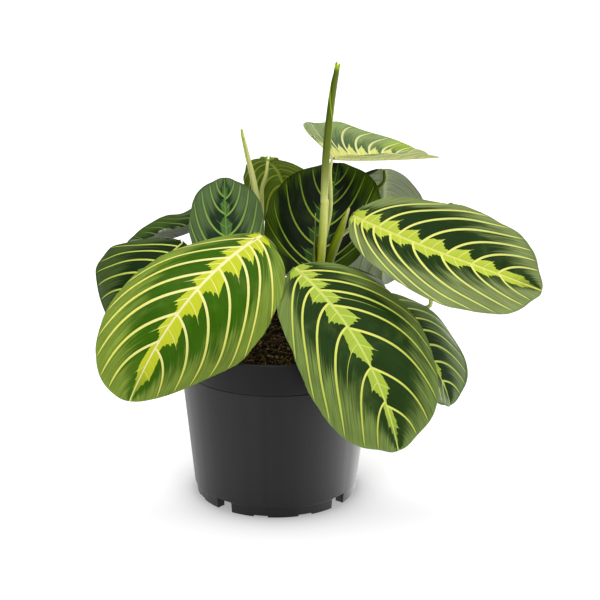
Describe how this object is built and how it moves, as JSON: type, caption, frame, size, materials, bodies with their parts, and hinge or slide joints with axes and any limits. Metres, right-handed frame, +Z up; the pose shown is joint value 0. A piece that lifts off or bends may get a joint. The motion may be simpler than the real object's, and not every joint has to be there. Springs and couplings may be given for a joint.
{
  "type": "potted prayer plant",
  "caption": "Prayer plant with broad oval leaves, lime midrib bands and pale curved veins, on arching stalks in a dark grey nursery pot.",
  "frame": {"origin": "middle of the whole plant's bounding box on the floor plane, under the pot's feet level", "axes": "+Z up along the pot's axis, -Y towards the viewer of the picture, +X to the viewer's right"},
  "size_m": [0.2722, 0.2142, 0.2773],
  "materials": {
    "pot_plastic": "satin dark grey",
    "soil": "matte, crumbly",
    "leaf_blade": "satin leaf",
    "stalk": "satin stalk"
  },
  "bodies": {
    "root": {"pot": "pot_plastic", "soil": "soil", "leaf_front_left": "leaf_blade", "leaf_front": "leaf_blade", "leaf_right": "leaf_blade", "leaf_right_low": "leaf_blade", "leaf_left": "leaf_blade", "leaf_left_far": "leaf_blade", "leaf_middle_left": "leaf_blade", "leaf_middle": "leaf_blade", "leaf_top": "leaf_blade", "leaf_back_left": "leaf_blade", "leaf_back_right": "leaf_blade", "leaf_low_back_left": "leaf_blade", "leaf_low_back": "leaf_blade", "leaf_low_back_right": "leaf_blade", "leaf_low_left": "leaf_blade", "leaf_right_far": "leaf_blade", "stem_front": "stalk", "stem_right": "stalk", "stem_centre": "stalk", "stem_left": "stalk", "stem_back_left": "stalk", "stem_back_right": "stalk", "rolled_leaf_tall": "stalk", "rolled_leaf_small": "stalk"}
  },
  "joints": []
}
